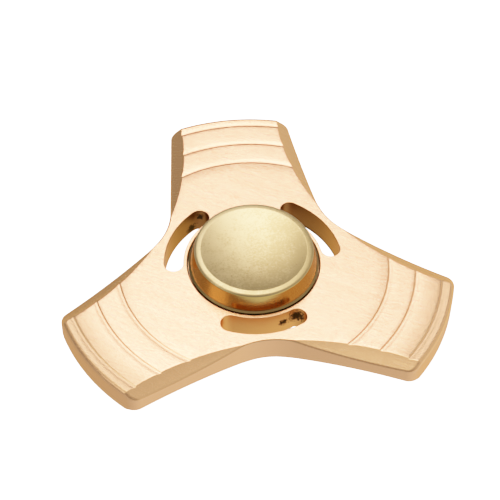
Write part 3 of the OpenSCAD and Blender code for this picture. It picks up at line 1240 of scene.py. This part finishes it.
@dataclass(frozen=True)
class ThumbCap:
    """A dished thumb cap with a rounded rim, a tapered side and a boss for the bearing's bore."""

    name: str
    node: str
    rim_z: float
    base_r: float
    low_z: float
    finish: bpy.types.Material
    flip: bool = False
    rim_r: float = 9.72
    rim_w: float = 1.0
    dish_depth: float = 0.85
    dish_rows: int = 30
    lip_z: float = 2.1
    seat_z: float = 2.381
    seat_r: float = 3.975
    relief_z: float = 2.85
    skirt_r: float = 9.2
    flange_z: float = 2.7
    flange_w: float = 0.3
    flange_chamfer: float = 0.2
    boss_r: float = 3.16
    boss_chamfer: float = 0.3
    hole_r: float = 2.02
    hole_z: float = 3.9
    hole_chamfer: float = 0.25
    drill_point: float = 0.6
    crown: float = 0.06

    def _section(self) -> tuple[Point, ...]:
        """The cap's section, from the dish's middle round to the top of its threaded hole.

        Each corner has a radius, a height and a rounding.
        """
        dish_r = self.rim_r - self.rim_w
        ball = (dish_r**2 + self.dish_depth**2) / (2 * self.dish_depth)
        dish = []
        for i in range(self.dish_rows):
            r = dish_r * i / self.dish_rows
            dish.append((r, self.rim_z - self.dish_depth + ball - math.sqrt(ball**2 - r**2), 0.0))
        corners = dish + [
            (dish_r, self.rim_z, 0.55),
            (self.rim_r, self.rim_z - self.crown, 0.50),
            (self.base_r - self.flange_w, self.flange_z, 0.05),
            (self.base_r, self.flange_z - self.flange_chamfer, 0.04),
            (self.base_r, self.lip_z, 0.05),
            (self.skirt_r, self.lip_z, 0.08),
            (self.skirt_r, self.relief_z, 0.2),
            (self.seat_r, self.relief_z, 0.15),
            (self.seat_r, self.seat_z, 0.05),
            (self.boss_r, self.seat_z, 0.05),
            (self.boss_r, self.low_z + self.boss_chamfer, 0.08),
            (self.boss_r - self.boss_chamfer, self.low_z, 0.05),
            (self.hole_r + self.hole_chamfer, self.low_z, 0.03),
            (self.hole_r, self.low_z + self.hole_chamfer, 0.03),
            (self.hole_r, self.hole_z, 0.03),
            (0.0, self.hole_z + self.drill_point, 0.0),
        ]
        return tuple(rounded(corners))

    def build(self) -> bpy.types.Object:
        """Turns the cap and dresses it.

        Returns:
            The piece.
        """
        piece = Turned(self.name, self._section(), ring=False, flip=self.flip).build()
        piece.data.materials.append(self.finish)
        declare(piece, Body.HUB, self.node)
        LOG.info("%s: %d open edges", self.name, open_edges(piece.data))
        return piece


# ---------------------------------------------------------------- studio


@dataclass(frozen=True)
class SoftHighlights:
    """A view curve that eases bright light into white instead of cutting it off."""

    white: float = 4.0
    stops: tuple[float, ...] = (0.0, 0.12, 0.28, 0.5, 0.8, 1.2, 1.8, 2.6, 4.0)

    def apply(self, scene: bpy.types.Scene) -> None:
        """Sets the scene's view curve.

        Args:
            scene: The scene whose view it is.
        """
        view = scene.view_settings
        view.view_transform = "Standard"
        view.use_curve_mapping = True
        mapping = view.curve_mapping
        mapping.initialize()
        mapping.white_level = (self.white, self.white, self.white)
        curve = mapping.curves[3]
        full = 1 - math.exp(-self.white)
        for stop in self.stops[1:-1]:
            curve.points.new(stop / self.white, (1 - math.exp(-stop)) / full)
        mapping.update()


@dataclass(frozen=True)
class Studio:
    """A pale floor, a soft sky with one large bright window, and the camera."""

    floor_z: float
    aim: tuple[float, float, float]
    floor_size: float = 3.0
    # the sky's colours and strengths
    sky_colour: Colour = (1.0, 0.99, 0.97)
    window_colour: Colour = (1.0, 0.985, 1.05)
    window_strength: float = 6.0
    horizon: Span = (-0.1, 0.1)
    # the window's four sides, each by the slant or the part of the direction that it crosses
    window_right: Span = (0.385, 0.29)
    window_left: Span = (-0.42, -0.29)
    window_top: Span = (0.84, 0.69)
    window_low: Span = (0.0, 0.2)
    # the camera's place, in metres and degrees, and its lens
    azimuth: float = -9.3
    elevation: float = 50.7945
    roll: float = 1.73
    distance: float = 0.2712
    lens: float = 119.2
    sensor: float = 36.0
    shift: Span = (-0.0072, 0.0243)

    def build(self) -> None:
        """Makes the floor, the light and the camera."""
        self._floor()
        self._sky()
        self._camera()

    def _floor(self) -> None:
        """A plain square that glossy rays don't see."""
        half = self.floor_size / 2
        corners = [(x * half, y * half, self.floor_z) for x, y in ((-1, -1), (1, -1), (1, 1), (-1, 1))]
        mesh = bpy.data.meshes.new("floor")
        mesh.from_pydata(corners, [], [(0, 1, 2, 3)])
        mesh.materials.append(PaleFloor().material())
        floor = show(mesh, "floor")
        floor.visible_glossy = False
        floor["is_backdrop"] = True

    def _sky(self) -> None:
        """A soft sky that is bright in one broad patch behind the object."""
        world = bpy.data.worlds.new("studio")
        bpy.context.scene.world = world
        world.use_nodes = True
        book = NodeBook(world.node_tree)
        x, y, z = book.split(book.add("ShaderNodeTexCoord", output="Generated"))
        upper = 0.48 + 0.62 * x.ramp(0.0, 0.72) + z.ramp(0.55, 1.0) * x.ramp(0.6, -0.1)
        lower = 1.20 + 0.45 * x
        above = z.ramp(*self.horizon)
        soft = lower + above * (upper - lower)
        right, left = 0.95 * x + 0.30 * y, 0.866 * x - 0.5 * y
        window = right.ramp(*self.window_right) * left.ramp(*self.window_left)
        window = window * y.ramp(*self.window_top) * y.ramp(*self.window_low)
        glint = x.ramp(-0.60, -0.75) * x.ramp(-1.0, -0.9) * y.ramp(-0.05, -0.2)
        glint = glint * z.ramp(0.35, 0.45) * z.ramp(0.68, 0.55)
        bright = above * (window + 0.6 * glint) * self.window_strength
        lights = {}
        for slot, (colour, level) in enumerate(((self.sky_colour, soft), (self.window_colour, bright))):
            lights[slot] = book.add("ShaderNodeBackground", inputs={0: (*colour, 1.0), 1: level})
        both = book.add("ShaderNodeAddShader", inputs=lights)
        book.add("ShaderNodeOutputWorld", inputs={"Surface": both})

    def _camera(self) -> None:
        """The camera, three-quarters above the object and a little to its left."""
        azimuth, elevation, roll = (math.radians(a) for a in (self.azimuth, self.elevation, self.roll))
        level = math.cos(elevation)
        back = Vector((math.sin(azimuth) * level, -math.cos(azimuth) * level, math.sin(elevation)))
        right = Vector((math.cos(azimuth), math.sin(azimuth), 0.0))
        up = back.cross(right)
        turned_right = right * math.cos(roll) + up * math.sin(roll)
        turned_up = up * math.cos(roll) - right * math.sin(roll)
        data = bpy.data.cameras.new("camera")
        data.lens, data.sensor_width = self.lens, self.sensor
        data.shift_x, data.shift_y = self.shift
        data.clip_start, data.clip_end = 0.01, 10.0
        camera = bpy.data.objects.new("camera", data)
        bpy.context.scene.collection.objects.link(camera)
        columns = Matrix((turned_right, turned_up, back)).transposed().to_4x4()
        camera.matrix_world = Matrix.Translation(Vector(self.aim) + back * self.distance) @ columns
        bpy.context.scene.camera = camera


# ---------------------------------------------------------------- main


def box_mm(node: str) -> tuple[Vector, Vector]:
    """A CAD node's lowest and highest corners in millimetres."""
    low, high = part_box(node)
    return low / MM, high / MM


def dress_hidden_works() -> None:
    """Gives the bearing's and the stud's CAD nodes their finishes."""
    finishes: dict[Slot, Finish] = {
        Slot.RING: TurnedSteel("bearing_ground", (0.60, 0.60, 0.61), 0.24),
        Slot.SHIELD: TurnedSteel("shield_rolled", (0.55, 0.55, 0.56), 0.32, ring_scale=3.0),
        Slot.SPRING: TurnedSteel("spring_blackened", (0.16, 0.16, 0.165), 0.38),
        Slot.CAGE: TurnedSteel("cage_stamped", (0.66, 0.47, 0.20), 0.34, smudge=(0.35, 0.22, 0.08)),
        Slot.STUD: TurnedSteel("stud_plain", (0.46, 0.46, 0.47), 0.36),
        Slot.BALL: PolishedBalls(),
    }
    made = {slot.value: finish.material() for slot, finish in finishes.items()}
    for entry in frame["record"]["subparts"]:
        node = frame["nodes"][entry["node"]]
        if entry["material_slot"] in made and not node.hide_render:
            node.data.materials.clear()
            node.data.materials.append(made[entry["material_slot"]])


def main() -> None:
    """Builds every sub-assembly round the frame."""
    logging.basicConfig(level=logging.INFO, format="%(name)s: %(message)s")
    cad_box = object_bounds()
    SoftHighlights().apply(bpy.context.scene)

    body_high = box_mm("spinner_body")[1]
    ring_high = box_mm("bearing_outer_ring")[1]
    cap_low, cap_high = box_mm("top_cap")
    face_z = body_high.z

    shape = PlateShape(tip_r=body_high.y, face_z=face_z, bore_r=ring_high.x, recess_r=cap_high.x + RECESS_GAP)
    SpinnerBody(shape, BrushedRoseGold().material()).build()

    brass = SatinBrass(dish_r=8.77, rim_z=cap_high.z).material()
    for name, node, flip in (("thumb_cap", "top_cap", False), ("finger_cap", "bottom_cap", True)):
        ThumbCap(name, node, cap_high.z, cap_high.x, cap_low.z, brass, flip).build()
    dress_hidden_works()

    Studio(floor_z=cad_box[0].z, aim=(0.0, 0.0, face_z * MM)).build()


if __name__ == "__main__":
    main()
